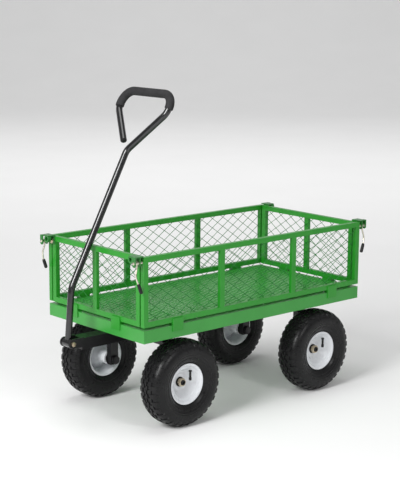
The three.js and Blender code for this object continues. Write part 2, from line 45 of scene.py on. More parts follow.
# ---------------------------------------------------------------- dimensions
lo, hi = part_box("tray_frame")
SH = (lo.x + hi.x) / 2                       # the tray's middle along X, in the row frame
HX, HY = (hi.x - lo.x) / 2 * 1000, (hi.y - lo.y) / 2 * 1000
TRAY_TOP, TRAY_BOTTOM = hi.z * 1000, lo.z * 1000
plo, phi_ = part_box("near_panel_frame")
PANEL_Z1 = phi_.z * 1000
PANEL_Z0 = PANEL_Z1 - 199.4
RAIL_H, POST_W, MID_W, PANEL_T, PANEL_GAP = 15.5, 16, 18, 14, 5
MESH_IN, MESH_T = 10.5, 2.5
END_Y = HY - PANEL_T - PANEL_GAP
WHEEL_R, TRACK = 128.0, 380.0
blo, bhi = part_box("front_axle_bracket")
XF = ((blo.x + bhi.x) / 2 - SH) * 1000
blo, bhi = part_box("rear_axle_bracket")
XR = ((blo.x + bhi.x) / 2 - SH) * 1000
blo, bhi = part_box("handle_pivot_bolt")
PX, PZ = ((blo.x + bhi.x) / 2 - SH) * 1000, (blo.z + bhi.z) / 2 * 1000
PIVOT_Z = 249.5


def mm(x, y, z):
    return Vector((x / 1000 + SH, y / 1000, z / 1000))


# ------------------------------------------------------------------ materials
class Mat:
    """A Principled material built node by node."""

    def __init__(self, name, color, rough, metal=0.0):
        self.m = bpy.data.materials.new(name)
        self.m.use_nodes = True
        self.nt = self.m.node_tree
        self.nt.nodes.clear()
        self.out = self.nt.nodes.new("ShaderNodeOutputMaterial")
        self.p = self.nt.nodes.new("ShaderNodeBsdfPrincipled")
        self.nt.links.new(self.p.outputs[0], self.out.inputs[0])
        self.set("Base Color", (*color, 1))
        self.set("Roughness", rough)
        self.set("Metallic", metal)
        self.tc = self.nt.nodes.new("ShaderNodeTexCoord")
        self.geo = None

    def set(self, k, v):
        self.p.inputs[k].default_value = v
        return self

    def node(self, kind, **props):
        n = self.nt.nodes.new(kind)
        for k, v in props.items():
            setattr(n, k, v)
        return n

    def link(self, a, b):
        self.nt.links.new(a, b)

    def coords(self, scale=(1, 1, 1)):
        n = self.node("ShaderNodeMapping")
        n.inputs["Scale"].default_value = scale
        self.link(self.tc.outputs["Object"], n.inputs["Vector"])
        return n.outputs[0]

    def noise(self, scale, detail=3.0, rough=0.5, stretch=(1, 1, 1)):
        n = self.node("ShaderNodeTexNoise")
        n.inputs["Scale"].default_value = scale
        n.inputs["Detail"].default_value = detail
        n.inputs["Roughness"].default_value = rough
        self.link(self.coords(stretch), n.inputs["Vector"])
        return n.outputs["Fac"]

    def ramp(self, fac, stops):
        n = self.node("ShaderNodeValToRGB")
        r = n.color_ramp
        r.elements[0].position, r.elements[0].color = stops[0][0], (*stops[0][1], 1)
        r.elements[1].position, r.elements[1].color = stops[-1][0], (*stops[-1][1], 1)
        for pos, c in stops[1:-1]:
            e = r.elements.new(pos)
            e.color = (*c, 1)
        self.link(fac, n.inputs[0])
        return n.outputs[0]

    def span(self, fac, a, b, lo=0.0, hi=1.0):
        n = self.node("ShaderNodeMapRange")
        n.inputs["From Min"].default_value = lo
        n.inputs["From Max"].default_value = hi
        n.inputs["To Min"].default_value = a
        n.inputs["To Max"].default_value = b
        self.link(fac, n.inputs["Value"])
        return n.outputs[0]

    def mix(self, fac, a, b):
        n = self.node("ShaderNodeMix", data_type="RGBA")
        if isinstance(fac, float):
            n.inputs[0].default_value = fac
        else:
            self.link(fac, n.inputs[0])
        for s, v in ((6, a), (7, b)):
            if isinstance(v, tuple):
                n.inputs[s].default_value = (*v, 1)
            else:
                self.link(v, n.inputs[s])
        return n.outputs[2]

    def bump(self, height, strength, distance, chain=None):
        n = self.node("ShaderNodeBump")
        n.inputs["Strength"].default_value = strength
        n.inputs["Distance"].default_value = distance
        self.link(height, n.inputs["Height"])
        if chain is not None:
            self.link(chain, n.inputs["Normal"])
        self.link(n.outputs[0], self.p.inputs["Normal"])
        return n.outputs[0]

    def edges(self):
        """1 on convex edges, 0 elsewhere."""
        n = self.node("ShaderNodeNewGeometry")
        return self.span(n.outputs["Pointiness"], 0, 1, 0.52, 0.62)


def coat(name, dark, light, rough, peel=0.12, clear=0.0, spec=0.5):
    """powder coat: slight orange peel, faint colour drift, a little grime"""
    m = Mat(name, light, rough)
    drift = m.noise(9, 4, 0.6)
    m.link(m.ramp(drift, [(0.3, dark), (0.7, light)]), m.p.inputs["Base Color"])
    m.link(m.span(m.noise(60, 3), rough - 0.05, rough + 0.08, 0.3, 0.7), m.p.inputs["Roughness"])
    m.bump(m.noise(900, 2), peel, 0.0004)
    m.set("Specular IOR Level", spec)
    if clear:
        m.set("Coat Weight", clear).set("Coat Roughness", 0.12)
    return m.m


GREEN = coat("green powder coat", (0.032, 0.275, 0.036), (0.040, 0.312, 0.044), 0.34, clear=0.15, spec=0.45)
PANEL_GREEN = coat("green powder coat on the panels", (0.015, 0.248, 0.015), (0.020, 0.282, 0.019), 0.34, clear=0.15, spec=0.42)
GREEN_WIRE = coat("green coated wire", (0.016, 0.16, 0.030), (0.022, 0.20, 0.038), 0.42, spec=0.25)
# the latches get the same green coat drawn darker: painted shade for the shadow around the latch brackets
LATCH_SHADED_GREEN = coat("green powder coat with painted shade on the latches", (0.014, 0.150, 0.020), (0.020, 0.190, 0.027), 0.34, clear=0.15, spec=0.45)
BLACK = coat("black powder coat", (0.005, 0.005, 0.0055), (0.009, 0.009, 0.010), 0.36, clear=0.1, spec=0.4)
GLOSS = coat("gloss black coat", (0.004, 0.004, 0.0045), (0.007, 0.007, 0.008), 0.14, peel=0.04, clear=0.5, spec=0.5)
WHITE = coat("white rim enamel", (0.68, 0.70, 0.73), (0.78, 0.80, 0.83), 0.28, peel=0.06, clear=0.25, spec=0.4)


def tyre_rubber():
    m = Mat("tyre rubber", (0.02, 0.02, 0.021), 0.55)
    d = m.noise(25, 5, 0.6)
    m.link(m.ramp(d, [(0.3, (0.007, 0.007, 0.0075)), (0.7, (0.012, 0.012, 0.0125))]), m.p.inputs["Base Color"])
    m.set("Specular IOR Level", 0.22)
    m.link(m.span(m.noise(80, 4), 0.24, 0.38, 0.3, 0.7), m.p.inputs["Roughness"])
    m.bump(m.noise(1400, 3), 0.15, 0.0004)
    return m.m


def foam():
    m = Mat("closed-cell foam", (0.03, 0.03, 0.032), 0.85)
    v = m.node("ShaderNodeTexVoronoi")
    v.inputs["Scale"].default_value = 900
    m.link(m.coords(), v.inputs["Vector"])
    m.link(m.ramp(m.noise(60, 4), [(0.3, (0.024, 0.024, 0.025)), (0.7, (0.036, 0.036, 0.038))]), m.p.inputs["Base Color"])
    m.bump(v.outputs["Distance"], 0.5, 0.0006)
    m.set("Specular IOR Level", 0.2)
    return m.m


def zinc(name, c1, c2, rough=0.32):
    m = Mat(name, c1, rough, 1.0)
    m.link(m.ramp(m.noise(70, 5, 0.65), [(0.3, c1), (0.7, c2)]), m.p.inputs["Base Color"])
    m.link(m.span(m.noise(240, 4), rough - 0.08, rough + 0.14, 0.3, 0.7), m.p.inputs["Roughness"])
    m.bump(m.noise(1500, 3), 0.1, 0.0003)
    return m.m


def plastic(name, c, rough):
    m = Mat(name, c, rough)
    m.link(m.ramp(m.noise(90, 3), [(0.3, tuple(x * 0.85 for x in c)), (0.7, tuple(x * 1.2 for x in c))]), m.p.inputs["Base Color"])
    m.set("Specular IOR Level", 0.25)
    m.bump(m.noise(1100, 3), 0.15, 0.0003)
    return m.m


TYRE = tyre_rubber()
FOAM = foam()
ZINC = zinc("yellow zinc plate", (0.50, 0.40, 0.26), (0.62, 0.55, 0.42))
WIRE = zinc("bright zinc wire", (0.72, 0.66, 0.54), (0.82, 0.78, 0.68), 0.3)
VINYL = plastic("dipped vinyl", (0.012, 0.012, 0.013), 0.4)
NYLON = plastic("black nylon", (0.013, 0.012, 0.011), 0.5)
VALVE = plastic("valve rubber", (0.012, 0.012, 0.013), 0.6)


# -------------------------------------------------------------------- meshes
def obj_from(name, verts, faces, mat, body, nodes=(), smooth=True):
    name = name.replace(" ", "_")
    me = bpy.data.meshes.new(name)
    me.from_pydata([tuple(v) for v in verts], [], [tuple(f) for f in faces])
    me.validate()
    me.update()
    me.materials.append(mat)
    for p in me.polygons:
        p.use_smooth = smooth
    o = bpy.data.objects.new(name, me)
    bpy.context.scene.collection.objects.link(o)
    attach(o, body)
    if nodes:
        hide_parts(*nodes)
    return o


def auto_smooth(o, angle=35):
    """marks the sharp edges so smooth shading keeps them"""
    bm = bmesh.new()
    bm.from_mesh(o.data)
    lim = math.radians(angle)
    for e in bm.edges:
        if len(e.link_faces) == 2 and e.calc_face_angle(0) > lim:
            e.smooth = False
    bm.to_mesh(o.data)
    bm.free()
    return o


def bevel(o, width, segments=3, angle=35):
    b = o.modifiers.new("bevel", "BEVEL")
    b.width = width / 1000
    b.segments = segments
    b.limit_method = "ANGLE"
    b.angle_limit = math.radians(angle)
    b.harden_normals = False
    b.use_clamp_overlap = True
    return o


class Build:
    """collects pieces of one object in millimetres of the cart's own frame"""

    def __init__(self):
        self.v, self.f = [], []

    def add(self, verts, faces, flip=False):
        n = len(self.v)
        self.v += [tuple(v) for v in verts]
        for f in faces:
            f = tuple(i + n for i in f)
            self.f.append(f[::-1] if flip else f)
        return self

    def box(self, x0, x1, y0, y1, z0, z1):
        v = [(x, y, z) for x in (x0, x1) for y in (y0, y1) for z in (z0, z1)]
        f = [(0, 1, 3, 2), (4, 6, 7, 5), (0, 4, 5, 1), (2, 3, 7, 6), (0, 2, 6, 4), (1, 5, 7, 3)]
        return self.add(v, f)

    def lathe(self, profile, at, axis, sides=48, turn=0.0):
        """closed solid of revolution, profile [(radius, distance along axis)]"""
        at = np.array(at, float)
        ax = np.array(axis, float)
        ax /= np.linalg.norm(ax)
        e = np.array((0, 0, 1.0)) if abs(ax[2]) < 0.9 else np.array((1.0, 0, 0))
        e -= ax * e.dot(ax)
        e /= np.linalg.norm(e)
        g = np.cross(ax, e)
        rings, verts, faces = [], [], []
        for r, a in profile:
            if r < 1e-6:
                rings.append([len(verts)] * sides)
                verts.append(at + ax * a)
            else:
                rings.append(list(range(len(verts), len(verts) + sides)))
                for k in range(sides):
                    t = 2 * math.pi * k / sides + turn
                    verts.append(at + ax * a + e * r * math.cos(t) + g * r * math.sin(t))
        closed = profile[0][0] > 1e-6 and profile[-1][0] > 1e-6
        pairs = list(zip(range(len(rings) - 1), range(1, len(rings))))
        if closed:
            pairs.append((len(rings) - 1, 0))
        for i, j in pairs:
            for k in range(sides):
                l = (k + 1) % sides
                q = [rings[i][k], rings[i][l], rings[j][l], rings[j][k]]
                q = [x for n, x in enumerate(q) if x not in q[:n]]
                if len(q) > 2:
                    faces.append(q)
        return self.add(verts, faces)

    def sweep(self, pts, radius, sides=24, caps=True, radii=None):
        pts = [np.array(p, float) for p in pts]
        n = len(pts)
        d = [(b - a) / np.linalg.norm(b - a) for a, b in zip(pts, pts[1:])]
        e = np.array((0, 1.0, 0))
        if abs(e.dot(d[0])) > 0.9:
            e = np.array((1.0, 0, 0))
        verts, faces = [], []
        for i in range(n):
            t = d[0] if i == 0 else d[-1] if i == n - 1 else d[i - 1] + d[i]
            t = t / np.linalg.norm(t)
            e = e - t * e.dot(t)
            e /= np.linalg.norm(e)
            g = np.cross(t, e)
            r = radii[i] if radii is not None else radius
            for k in range(sides):
                a = 2 * math.pi * k / sides
                verts.append(pts[i] + e * r * math.cos(a) + g * r * math.sin(a))
        for i in range(n - 1):
            for k in range(sides):
                l = (k + 1) % sides
                faces.append((i * sides + k, i * sides + l, (i + 1) * sides + l, (i + 1) * sides + k))
        if caps:
            faces.append(tuple(range(sides))[::-1])
            faces.append(tuple((n - 1) * sides + k for k in range(sides)))
        return self.add(verts, faces)

    def hex(self, flats, a0, a1, at, axis, turn=0.0, chamfer=1.0, chamfer0=0.0, bore=0.0):
        """hexagon with its corners chamfered at the a1 end (and at a0 if asked)"""
        R = flats / 2 / math.cos(math.pi / 6)
        sides, prof = 48, []
        def rad(k, top):
            t = (2 * math.pi * k / sides) % (math.pi / 3) - math.pi / 6
            return flats / 2 / math.cos(t)
        at = np.array(at, float)
        ax = np.array(axis, float)
        e = np.array((0, 0, 1.0)) if abs(ax[2]) < 0.9 else np.array((1.0, 0, 0))
        g = np.cross(ax, e)
        rings, verts, faces = [], [], []
        s = 1 if a1 > a0 else -1
        levels = []
        if bore:
            levels.append(("bore", a0))
        levels.append(("face", a0))
        levels += [("low", a0), ("high", a1), ("face", a1)]
        if bore:
            levels.append(("bore", a1))
        for kind, a in levels:
            ring = []
            for k in range(sides):
                r = rad(k, 0)
                over = max(0.0, r - flats / 2)
                if kind == "bore":
                    r, z = bore, a
                elif kind == "face":
                    r, z = flats / 2 * 0.94, a
                elif kind == "low":
                    z = a + s * (0.15 + over * (0.55 if chamfer0 else 0.0))
                else:
                    z = a - s * (0.15 + over * 0.55 * chamfer)
                t = 2 * math.pi * k / sides + turn
                ring.append(len(verts))
                verts.append(at + ax * z + e * r * math.cos(t) + g * r * math.sin(t))
            rings.append(ring)
        if not bore:
            c0 = len(verts); verts.append(at + ax * a0)
            c1 = len(verts); verts.append(at + ax * a1)
            rings = [[c0] * sides] + rings + [[c1] * sides]
        pairs = list(zip(range(len(rings) - 1), range(1, len(rings))))
        if bore:
            pairs.append((len(rings) - 1, 0))
        for i, j in pairs:
            for k in range(sides):
                l = (k + 1) % sides
                q = [rings[i][k], rings[i][l], rings[j][l], rings[j][k]]
                q = [x for n, x in enumerate(q) if x not in q[:n]]
                if len(q) > 2:
                    faces.append(q)
        return self.add(verts, faces)

    def make(self, name, mat, body, nodes=(), slot=None, smooth=True, sharp=35, fx=1, fy=1):
        v = [mm(x * fx, y * fy, z) for x, y, z in self.v]
        f = self.f if fx * fy > 0 else [q[::-1] for q in self.f]
        o = obj_from(name, v, f, mat, body, nodes, smooth)
        bm = bmesh.new()
        bm.from_mesh(o.data)
        bmesh.ops.recalc_face_normals(bm, faces=bm.faces)
        if smooth:
            lim = math.radians(sharp)
            for e in bm.edges:
                if len(e.link_faces) == 2 and e.calc_face_angle(0) > lim:
                    e.smooth = False
        bm.to_mesh(o.data)
        bm.free()
        return o


def cad(node, mat, width=0.0, segments=3):
    """a CAD node shown as it is, with its vertices joined and its edges rounded"""
    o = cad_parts[node]
    o.data.materials.clear()
    o.data.materials.append(mat)
    for p in o.data.polygons:
        p.use_smooth = True
    w = o.modifiers.new("weld", "WELD")
    w.merge_threshold = 2e-5
    if width:
        bevel(o, width, segments)
    n = o.modifiers.new("normals", "WEIGHTED_NORMAL")
    n.keep_sharp = True
    n.weight = 80
    return o


def rounded_path(points, radii, steps):
    pts = [np.array(p, float) for p in points]
    out = [pts[0]]
    for i in range(1, len(pts) - 1):
        a, b, c = pts[i - 1], pts[i], pts[i + 1]
        u, v = (a - b) / np.linalg.norm(a - b), (c - b) / np.linalg.norm(c - b)
        half = math.acos(max(-1, min(1, u.dot(v)))) / 2
        r = radii[i - 1]
        back = r / math.tan(half)
        p, q = b + u * back, b + v * back
        centre = b + (u + v) / np.linalg.norm(u + v) * r / math.sin(half)
        e1, e2 = p - centre, q - centre
        sweep = math.acos(max(-1, min(1, e1.dot(e2) / np.linalg.norm(e1) / np.linalg.norm(e2))))
        n = steps[i - 1]
        for k in range(n + 1):
            t = k / n
            out.append(centre + e1 * math.sin((1 - t) * sweep) / math.sin(sweep) + e2 * math.sin(t * sweep) / math.sin(sweep))
    out.append(pts[-1])
    return out


def resample(pts, step):
    pts = [np.array(p, float) for p in pts]
    at = [0.0]
    for a, b in zip(pts, pts[1:]):
        at.append(at[-1] + np.linalg.norm(b - a))
    n = max(2, int(at[-1] / step))
    out, i = [], 0
    for k in range(n + 1):
        d = at[-1] * k / n
        while i < len(at) - 2 and at[i + 1] < d:
            i += 1
        f = (d - at[i]) / (at[i + 1] - at[i])
        out.append(pts[i] * (1 - f) + pts[i + 1] * f)
    return out, at[-1]


# ---------------------------------------------------------- tray and brackets
cad("tray_frame", GREEN, 1.1)
for n in ("cross_member_front", "cross_member_middle", "cross_member_rear"):
    cad(n, GREEN, 1.0)
for n in ("near", "far", "front", "rear"):
    cad(f"{n}_panel_frame", PANEL_GREEN, 1.0)
for n in ("front_axle_bracket", "rear_axle_bracket", "turntable_plate", "tongue"):
    cad(n, BLACK, 0.9)
for n in ("king_pin", "king_pin_nut", "handle_pivot_nut"):
    cad(n, ZINC, 0.5)
for c in CORNERS:
    # latch brackets in the darker green, which is painted shade
    cad(f"{c}_latch_bracket", LATCH_SHADED_GREEN, 0.4, 2)

# ------------------------------------------------------------- diamond meshes
PITCH_W, PITCH_H = 46.0, 31.0
WIRE_R = 0.85


def wires(u0, u1, z0, z1, place):
    """two families of straight wires across a rectangle; place(u, z, depth) gives the point"""
    b = Build()
    slope = PITCH_H / PITCH_W
    mid = (z0 + z1) / 2
    for fam, depth in ((1, -0.35), (-1, 0.35)):
        k = slope * fam
        n0 = int((u1 - u0 + (z1 - z0) / slope) / PITCH_W) + 3
        for i in range(-n0, n0 + 1):
            c = (u0 + u1) / 2 + i * PITCH_W          # where the wire crosses mid height
            # z = mid + k (u - c)
            ua, ub = c + (z0 - mid) / k, c + (z1 - mid) / k
            ua, ub = min(ua, ub), max(ua, ub)
            ua, ub = max(ua, u0), min(ub, u1)
            if ub - ua < 3:
                continue
            p = [place(u, mid + k * (u - c), depth) for u in (ua, ub)]
            b.sweep(p, WIRE_R, 8)
    return b


for side, fy in (("near", 1), ("far", -1)):
    yc = -HY + MESH_IN + MESH_T / 2
    w = wires(-HX + POST_W + 0.3, HX - POST_W - 0.3, PANEL_Z0 + RAIL_H + 0.3, PANEL_Z1 - RAIL_H - 0.3,
              lambda u, z, d: (u, yc + d, z))
    w.make(f"{side} panel wire mesh", GREEN_WIRE, f"{side}_panel", (f"{side}_panel_mesh",), "green_coat", fy=fy)
for side, fx in (("front", 1), ("rear", -1)):
    xc = -HX + MESH_IN + MESH_T / 2
    w = wires(-END_Y + POST_W + 0.3, END_Y - POST_W - 0.3, PANEL_Z0 + RAIL_H + 0.3, PANEL_Z1 - RAIL_H - 0.3,
              lambda u, z, d: (xc + d, u, z))
    w.make(f"{side} panel wire mesh", GREEN_WIRE, f"{side}_panel", (f"{side}_panel_mesh",), "green_coat", fx=fx)

# expanded metal floor: staggered diamonds of flattened strand
dlo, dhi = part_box("deck_mesh")
DZ0, DZ1 = dlo.z * 1000, dhi.z * 1000
DX, DY = (dhi.x - dlo.x) / 2 * 1000, (dhi.y - dlo.y) / 2 * 1000
SW, LW, STRAND = 16.0, 38.0, 2.6
bm = bmesh.new()
nx, ny = int(2 * DX / LW) + 2, int(2 * DY / SW) + 2
inner = 1 - STRAND * 2 / (SW * LW / math.hypot(SW, LW))
for j in range(-ny, ny + 1):
    for i in range(-nx // 2 - 1, nx // 2 + 2):
        cx = (i + (0.5 if j % 2 else 0)) * LW
        cy = j * SW / 2
        if abs(cx) > DX + LW / 2 or abs(cy) > DY + SW / 2:
            continue
        outer_ = [(cx + LW / 2, cy), (cx, cy + SW / 2), (cx - LW / 2, cy), (cx, cy - SW / 2)]
        inner_ = [(cx + (x - cx) * inner, cy + (y - cy) * inner) for x, y in outer_]
        a = [bm.verts.new(mm(x, y, DZ1 - 0.2)) for x, y in outer_]
        c = [bm.verts.new(mm(x, y, DZ1 - 0.2)) for x, y in inner_]
        for k in range(4):
            l = (k + 1) % 4
            bm.faces.new((a[k], a[l], c[l], c[k]))
bmesh.ops.remove_doubles(bm, verts=bm.verts, dist=1e-5)
for co, no in ((mm(DX - 0.4, 0, 0), (1, 0, 0)), (mm(-DX + 0.4, 0, 0), (-1, 0, 0)), (mm(0, DY - 0.4, 0), (0, 1, 0)), (mm(0, -DY + 0.4, 0), (0, -1, 0))):
    bmesh.ops.bisect_plane(bm, geom=bm.verts[:] + bm.edges[:] + bm.faces[:], plane_co=co, plane_no=no, clear_outer=True)
me = bpy.data.meshes.new("expanded metal floor")
bm.to_mesh(me)
bm.free()
me.materials.append(GREEN)
o = bpy.data.objects.new("expanded_metal_floor", me)
bpy.context.scene.collection.objects.link(o)
s = o.modifiers.new("sheet", "SOLIDIFY")
s.thickness = 0.0022
s.offset = -1
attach(o, "chassis")
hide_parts("deck_mesh")

# --------------------------------------------------------------------- wheels
LUGS = 33


def tyre_mesh():
    """profile in (radius, offset from the middle plane), tread lugs raised on it"""
    # carcass, from the bead on one side to the bead on the other
    half = [(53.8, 23.3), (55.9, 26.2), (59.5, 28.2), (61.9, 29.2), (62.9, 30.6), (64.4, 32.6), (65.4, 33.0), (66.4, 33.4), (67.6, 35.0),
            (70.5, 36.9), (74, 38.4), (75.2, 38.7), (75.8, 39.5), (77.2, 39.6), (77.8, 39.1), (80.5, 39.9), (83.6, 40.6), (84.2, 41.1), (85.6, 41.3), (86.2, 41.0), (89.0, 41.5), (89.5, 41.9), (90.7, 42.0), (91.2, 41.6), (97.5, 42.0),
            (102, 41.6), (106, 40.7)]
    # shoulder and crown: base surface, finely divided
    crown = []
    base_r, base_a = 124.4, 0.0
    arc = [(106, 40.7), (109.5, 39.4), (113, 37.4), (116, 35.0), (118.6, 32.0), (120.6, 28.4), (122.2, 24.0), (123.3, 18.5), (124.0, 12.5), (124.3, 6), (124.4, 0)]
    # distances from the centre line along the surface
    pts = [np.array(p) for p in arc[::-1]]
    d = [0.0]
    for p, q in zip(pts, pts[1:]):
        d.append(d[-1] + np.linalg.norm(q - p))
    total = d[-1]

    def at(sd):
        sd = min(max(sd, 0), total)
        i = 0
        while i < len(d) - 2 and d[i + 1] < sd:
            i += 1
        f = (sd - d[i]) / (d[i + 1] - d[i])
        p = pts[i] * (1 - f) + pts[i + 1] * f
        t = pts[min(i + 2, len(pts) - 1)] - pts[max(i - 1, 0)]
        t = t / np.linalg.norm(t)
        n = np.array((t[1], -t[0]))
        return p, (n if n[0] >= 0 else -n)

    # rows of blocks across the tread, |s| from to, block from to in pitch, height
    rows = [
        (0.0, 5.2, -0.02, 0.50, 2.8),
        (8.2, 20.0, 0.34, 0.80, 2.9),
        (16.0, 21.5, -0.16, 0.40, 2.9),
        (21.5, 37.0, -0.16, 0.44, 2.3),
        (37.0, 43.5, -0.10, 0.30, 1.0),
    ]
    eps = 0.6                                   # width of a block's wall
    cuts = set([0.0, total])
    for a, b, _, _, _ in rows:
        for x in (a, b):
            for y in (x - eps / 2, x + eps / 2):
                if 0 < y < total:
                    cuts.add(round(y, 3))
    x = 0
    while x < total:
        if all(abs(x - c) > 1.2 for c in cuts):
            cuts.add(round(x, 3))
        x += 2.6
    scuts = sorted(cuts)
    pe = eps / (2 * math.pi * 126 / LUGS)
    tc = set()
    for _, _, a, b, _ in rows:
        for shift in (0.0, 0.5):
            for x in (a + shift, b + shift):
                for y in (x - pe / 2, x + pe / 2):
                    tc.add(round(y % 1.0, 4))
    x = 0.0
    while x < 1:
        if all(abs(x - c) > 0.06 for c in tc):
            tc.add(round(x, 4))
        x += 0.125
    tcuts = sorted(tc)

    def height(sd, t, side):
        h = 0.0
        tt = t + (0.5 if side < 0 else 0.0)
        for a, b, ta, tb, hh in rows:
            if a <= sd <= b:
                for w in (-1, 0, 1):
                    if ta <= (tt % 1.0) + w <= tb:
                        h = max(h, hh)
        return h

    rings = []                                  # (kind, data)
    for r, a in half:
        rings.append(("plain", r, -a))
    for sd in reversed(scuts[:-1]):
        rings.append(("tread", sd, -1))
    for sd in scuts[1:-1]:
        rings.append(("tread", sd, 1))
    for r, a in half[::-1]:
        rings.append(("plain", r, a))
    # inside of the carcass, out of sight behind the rim
    for r, a in ((55, 20.5), (60, 24.5), (72, 33.5), (97, 37.5), (113, 33), (119, 18), (119, -18), (113, -33), (97, -37.5), (72, -33.5), (60, -24.5), (55, -20.5)):
        rings.append(("plain", r, a))
    thetas = [(k + t) / LUGS * 2 * math.pi for k in range(LUGS) for t in tcuts]
    tfrac = [t for _ in range(LUGS) for t in tcuts]
    n = len(thetas)
    verts = []
    for kind, u, v in rings:
        if kind == "plain":
            for th in thetas:
                verts.append((u * math.cos(th), v, u * math.sin(th)))
        else:
            p, nrm = at(u)
            hs = {}
            for th, t in zip(thetas, tfrac):
                if t not in hs:
                    hs[t] = height(u, t, v)
                h = hs[t]
                r = p[0] + nrm[0] * h
                a = (p[1] + nrm[1] * h) * v
                verts.append((r * math.cos(th), a, r * math.sin(th)))
    faces = []
    m = len(rings)
    for i in range(m):
        j = (i + 1) % m
        for k in range(n):
            l = (k + 1) % n
            faces.append((i * n + k, j * n + k, j * n + l, i * n + l))
    return verts, faces


TV, TF = tyre_mesh()
tyre_r = max(math.hypot(v[0], v[2]) for v in TV)


def arc2(cx, cy, r, a0, a1, n):
    return [(cx + r * math.cos(math.radians(a0 + (a1 - a0) * k / n)), cy + r * math.sin(math.radians(a0 + (a1 - a0) * k / n))) for k in range(n + 1)]


def smooth_profile(pts, it=2):
    """rounds the corners of an open profile by corner cutting"""
    for _ in range(it):
        out = [pts[0]]
        for a, b in zip(pts, pts[1:]):
            out.append((a[0] * 0.75 + b[0] * 0.25, a[1] * 0.75 + b[1] * 0.25))
            out.append((a[0] * 0.25 + b[0] * 0.75, a[1] * 0.25 + b[1] * 0.75))
        out.append(pts[-1])
        pts = out
    return pts


# outer face of the rim from its rolled edge to the hub, then the back
RIM_FACE = smooth_profile([(60.2, 31.8), (57.6, 31.7), (54.4, 30.0), (51.6, 26.4), (49.6, 23.6), (44.5, 21.6), (41, 17.5), (33, 7.5), (27.5, 0.8), (24.5, -2.0), (21.2, -2.9), (15.5, -3.1)])
RIM_EDGE = arc2(59.5, 30.9, 1.3, 90, -90, 8)
RIM_BACK = smooth_profile([(59.6, 29.7), (56.0, 28.2), (54.6, 26.2), (52.8, 21.5), (52.8, -21.5), (54.6, -26.2), (56.0, -28.2), (59.6, -29.7)])
RIM_INNER = smooth_profile([(59.6, -31.9), (56.6, -31.6), (53.2, -29.2), (50.4, -24), (49.4, -21), (49.3, 13.5), (44.5, 15.2), (33.5, 2.5), (24.5, -8.5), (21.0, -11.5), (20.0, -14.5), (20.0, -49.6)])
for c in CORNERS:
    x = XF if c.startswith("front") else XR
    side = -1 if c.endswith("near") else 1
    y = side * TRACK / 2
    body = f"{c}_wheel"
    scale = (WHEEL_R - 0.05) / tyre_r
    verts = [mm(x + v[0] * scale, y + side * v[1], WHEEL_R + v[2] * scale) for v in TV]
    faces = TF if side > 0 else [f[::-1] for f in TF]
    t = obj_from(f"{c} tyre with tread", verts, faces, TYRE, body, (f"{c}_tyre",))
    bm = bmesh.new(); bm.from_mesh(t.data)
    bmesh.ops.recalc_face_normals(bm, faces=bm.faces)
    for e in bm.edges:
        if len(e.link_faces) == 2 and e.calc_face_angle(0) > math.radians(38):
            e.smooth = False
    bm.to_mesh(t.data); bm.free()

    prof = RIM_FACE[::-1] + RIM_EDGE + RIM_BACK + arc2(59.5, -30.9, 1.3, 90, -90, 8)[1:] + RIM_INNER + [(16.6, -49.9), (12.8, -49.9), (12.8, -3.2)]
    b = Build()
    b.lathe([(r, side * a) for r, a in prof], (x, y, WHEEL_R), (0, 1, 0), 96)
    b.make(f"{c} rim", WHITE, body, (f"{c}_rim",), "white_coat", sharp=50)

    # bearing: flanged bush with a dark seal and a pressed shield
    b = Build()
    b.lathe([(8.45, side * -50.9), (14.1, side * -50.9), (14.4, side * -50.6), (14.4, side * -50.4), (12.0, side * -50.3), (12.0, side * -2.8), (14.0, side * -2.6),
             (14.4, side * -2.2), (14.4, side * -0.6), (13.9, side * 0.1), (12.6, side * 0.4), (12.2, side * -0.4), (10.6, side * -0.4), (10.2, side * 0.45), (8.45, side * 0.45)],
            (x, y, WHEEL_R), (0, 1, 0), 64)
    b.make(f"{c} hub bearing", NYLON, body, (f"{c}_hub_bearing",), "black_plastic")

    # valve: rubber foot against the rim, stem and cap
    b = Build()
    b.lathe([(0, 8.1), (3.2, 8.2), (4.0, 8.9), (4.25, 10.0), (4.25, 16.0), (3.9, 16.6), (3.3, 17.0), (3.3, 32.8),
             (4.0, 33.6), (4.6, 34.4), (4.7, 37.0), (4.3, 37.9), (0, 38.1)], (x + 14, y + side * 28, WHEEL_R), (0, 0, 1), 32)
    b.make(f"{c} valve stem", VALVE, body, (f"{c}_valve_stem",), "valve_rubber")

    # axle bolt with threads at its outer end, washer and nut
    wb = "steering" if c.startswith("front") else "chassis"
    inner, outer = 114 - 0.3, TRACK / 2 + 16
    thread = []
    a = TRACK / 2 + 2
    while a < outer - 1.6:
        thread += [(7.9, a), (7.9, a + 0.35), (7.0, a + 0.9), (7.0, a + 1.1)]
        a += 1.5
    b = Build()
    b.lathe([(0, inner - 4), (7.9, inner - 4), (7.9, TRACK / 2 + 1.5)] + thread + [(7.0, outer - 1.2), (6.4, outer), (5.2, outer), (4.6, outer - 1.0), (4.2, outer - 6.0), (0, outer - 7.5)],
            (x, 0, WHEEL_R), (0, 1, 0), 48)
    b.hex(24, inner, inner - 9, (x, 0, WHEEL_R), (0, 1, 0), 0.2)
    b.make(f"{c} axle bolt", BLACK, wb, (f"{c}_axle_bolt",), "black_coat", fy=side)
    b = Build()
    b.lathe([(8.5, TRACK / 2 + 1.0), (10.6, TRACK / 2 + 1.0), (10.8, TRACK / 2 + 1.3), (10.8, TRACK / 2 + 2.2), (10.6, TRACK / 2 + 2.4), (8.5, TRACK / 2 + 2.4)], (x, 0, WHEEL_R), (0, 1, 0), 48)
    b.hex(21.6, TRACK / 2 + 2.5, TRACK / 2 + 12.4, (x, 0, WHEEL_R), (0, 1, 0), 0.5, bore=8.3)
    b.make(f"{c} axle nut", ZINC, wb, (f"{c}_axle_nut",), "zinc", fy=side)

# --------------------------------------------------------------------- handle
LEAN = math.radians(28.16)
BEND = np.array((-523.2, 0, 406.3))
FOOT = np.array((-535.6, 0, PIVOT_Z))
L = np.array((math.sin(LEAN), 0, math.cos(LEAN)))


